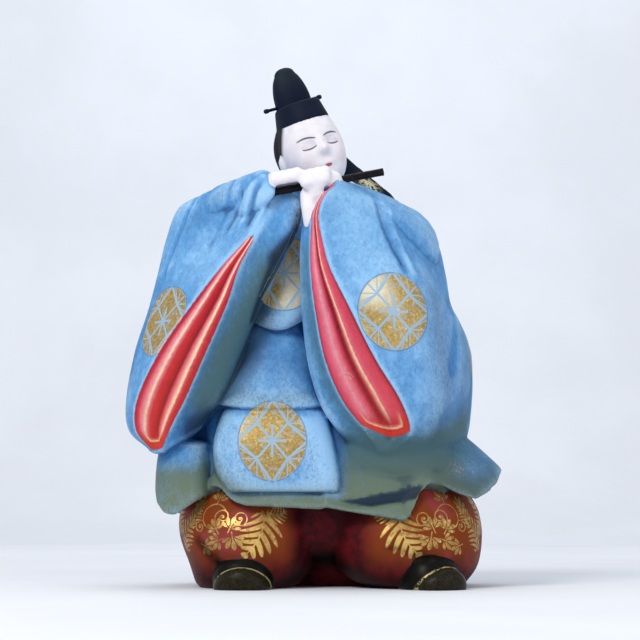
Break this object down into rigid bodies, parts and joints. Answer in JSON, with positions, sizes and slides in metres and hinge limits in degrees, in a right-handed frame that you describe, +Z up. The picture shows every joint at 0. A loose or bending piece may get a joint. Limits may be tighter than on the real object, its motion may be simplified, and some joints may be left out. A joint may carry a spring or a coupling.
{
  "type": "hakata doll",
  "caption": "Painted clay doll of a court musician playing a side-blown flute, in wide-sleeved robe, full trousers and tall cap with a pin and a hanging ribbon.",
  "frame": {"origin": "on the flat underside, between the feet, under the middle of the figure", "axes": "+Z up, the figure faces -Y, +X towards the viewer's right"},
  "size_m": [0.1968, 0.1249, 0.2756],
  "materials": {
    "painted_clay": "matte painted bisque clay: blue robe, wine trousers, white skin, black cap and shoes",
    "flute_black": "satin black-brown",
    "lacquer_black": "satin black"
  },
  "bodies": {
    "root": {"figure": "painted_clay", "flute": "flute_black", "cap_pin": "lacquer_black"}
  },
  "joints": []
}
